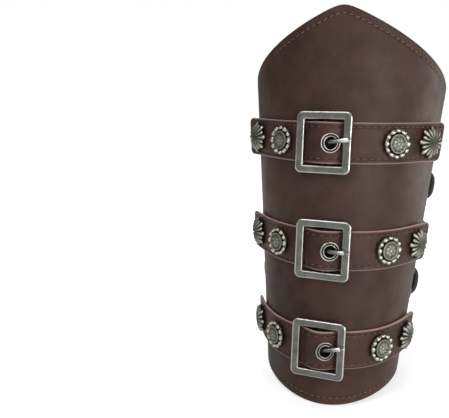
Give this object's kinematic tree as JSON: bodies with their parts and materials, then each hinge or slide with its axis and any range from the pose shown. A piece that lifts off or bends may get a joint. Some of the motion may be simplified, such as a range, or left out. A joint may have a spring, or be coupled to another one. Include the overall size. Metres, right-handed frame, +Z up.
{
  "type": "leather bracer",
  "caption": "Forearm guard of stitched leather with three buckled straps, metal conchos and a lace that closes it up the back.",
  "frame": {"origin": "bottom centre of the bounding box: midway between the sides and between front and back, at the height of the lowest point of the wrist edge", "axes": "+Z up the forearm to the point at the elbow, +X to the side that the prongs point to, the buckled front facing -Y and the lacing facing +Y"},
  "size_m": [0.1348, 0.1142, 0.249],
  "materials": {
    "shell_leather": "matt dark brown, waxed",
    "lining_leather": "matt, rough side",
    "strap_leather": "satin reddish brown with burnished edges",
    "buckle_metal": "antique silver",
    "eyelet_metal": "antique silver",
    "concho_metal": "antique silver with dark recesses",
    "screw_metal": "zinc plated",
    "lace_cord": "matt black"
  },
  "bodies": {
    "bracer": {"outer_panel": "shell_leather", "lining": "lining_leather", "strap_top": "strap_leather", "strap_mid": "strap_leather", "strap_low": "strap_leather", "strap_eyelet_top": "eyelet_metal", "strap_eyelet_mid": "eyelet_metal", "strap_eyelet_low": "eyelet_metal", "round_conchos_top": "concho_metal", "round_conchos_mid": "concho_metal", "round_conchos_low": "concho_metal", "flower_conchos_top": "concho_metal", "flower_conchos_mid": "concho_metal", "flower_conchos_low": "concho_metal", "concho_screws_top": "screw_metal", "concho_screws_mid": "screw_metal", "concho_screws_low": "screw_metal", "lacing_eyelets_left": "eyelet_metal", "lacing_eyelets_right": "eyelet_metal", "lace": "lace_cord", "lace_knot": "lace_cord", "lace_tips": "eyelet_metal"},
    "buckle_top": {"buckle_frame_top": "buckle_metal", "centre_bar_top": "buckle_metal"},
    "prong_top": {"prong_top": "buckle_metal"},
    "buckle_mid": {"buckle_frame_mid": "buckle_metal", "centre_bar_mid": "buckle_metal"},
    "prong_mid": {"prong_mid": "buckle_metal"},
    "buckle_low": {"buckle_frame_low": "buckle_metal", "centre_bar_low": "buckle_metal"},
    "prong_low": {"prong_low": "buckle_metal"}
  },
  "joints": [
    {"name": "buckle_rock_top", "type": "hinge", "parent": "bracer", "child": "buckle_top", "pos_m": [-0.00721, -0.05016, 0.16803], "axis": [0.0001, 0.0008, -1], "range_deg": [-2, 2]},
    {"name": "prong_lift_top", "type": "hinge", "parent": "buckle_top", "child": "prong_top", "pos_m": [-0.00721, -0.05016, 0.16803], "axis": [0.0001, 0.0008, -1], "range_deg": [0, 6]},
    {"name": "buckle_rock_mid", "type": "hinge", "parent": "bracer", "child": "buckle_mid", "pos_m": [-0.00442, -0.05045, 0.10201], "axis": [0, 0.0004, -1], "range_deg": [-2, 2]},
    {"name": "prong_lift_mid", "type": "hinge", "parent": "buckle_mid", "child": "prong_mid", "pos_m": [-0.00442, -0.05045, 0.10201], "axis": [0, 0.0004, -1], "range_deg": [0, 6]},
    {"name": "buckle_rock_low", "type": "hinge", "parent": "bracer", "child": "buckle_low", "pos_m": [-0.00403, -0.05046, 0.03801], "axis": [0, 0.0004, -1], "range_deg": [-2, 2]},
    {"name": "prong_lift_low", "type": "hinge", "parent": "buckle_low", "child": "prong_low", "pos_m": [-0.00403, -0.05046, 0.03801], "axis": [0, 0.0004, -1], "range_deg": [0, 6]}
  ]
}
